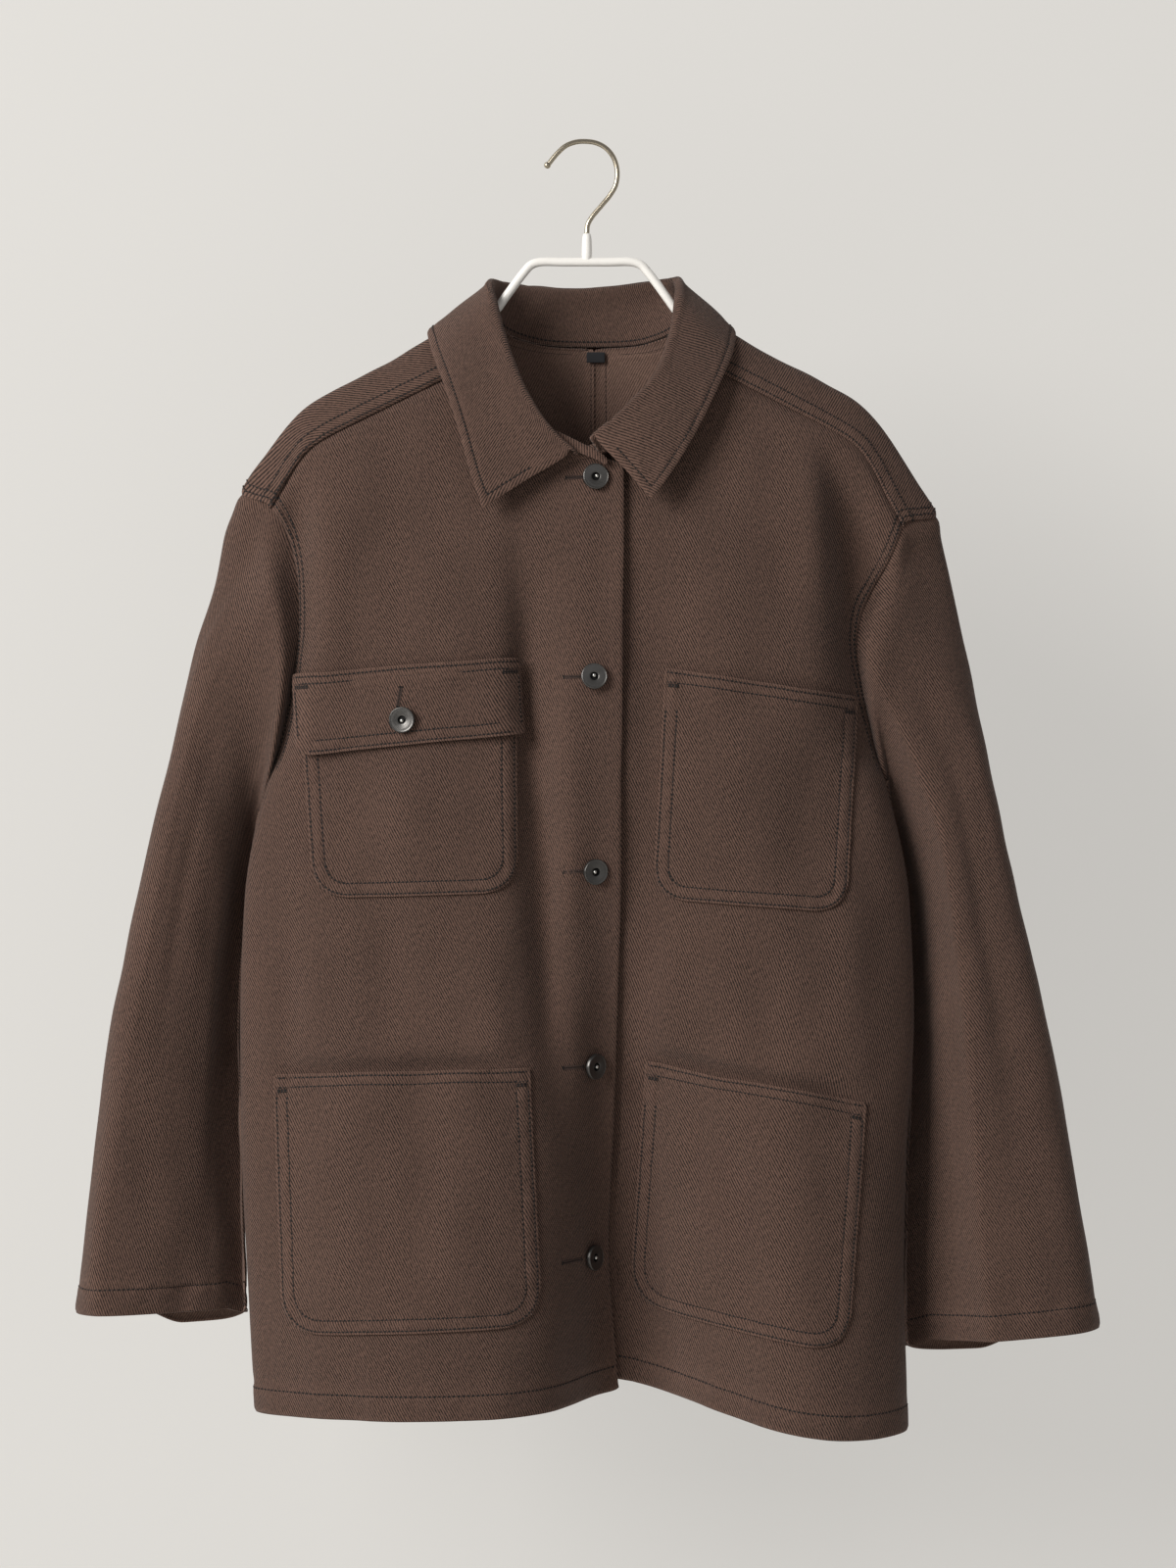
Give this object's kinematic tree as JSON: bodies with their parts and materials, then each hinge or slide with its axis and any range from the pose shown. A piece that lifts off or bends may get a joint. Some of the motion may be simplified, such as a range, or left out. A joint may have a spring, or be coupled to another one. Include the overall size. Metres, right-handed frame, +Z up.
{
  "type": "chore jacket on a hanger",
  "caption": "Heavy twill chore jacket, buttoned up, with patch pockets and a turned-down collar, hanging open at neck, hem and cuffs on a coated wire hanger with a hook.",
  "frame": {"origin": "the point under the top of the hanger's hook, on its inner side, where it hangs on a rail", "axes": "+Z up, +X to the wearer's left as seen from the front, +Y from the jacket's front to its back"},
  "size_m": [0.6922, 0.1187, 0.869],
  "materials": {
    "twill": "matte dark brown heavy cotton twill",
    "button_metal": "dark gunmetal, satin",
    "tab_cloth": "matte black woven tape",
    "hanger_coating": "smooth off-white coating, satin",
    "hook_metal": "plain bright wire"
  },
  "bodies": {
    "root": {"front_right": "twill", "front_left": "twill", "back_right": "twill", "back_left": "twill", "sleeve_right": "twill", "sleeve_left": "twill", "collar": "twill", "chest_pocket_right": "twill", "pocket_flap_right": "twill", "chest_pocket_left": "twill", "hip_pocket_right": "twill", "hip_pocket_left": "twill", "front_button_1": "button_metal", "front_button_2": "button_metal", "front_button_3": "button_metal", "front_button_4": "button_metal", "front_button_5": "button_metal", "flap_button": "button_metal", "neck_tab": "tab_cloth", "hanger_arch": "hanger_coating", "hanger_hook": "hook_metal"}
  },
  "joints": []
}
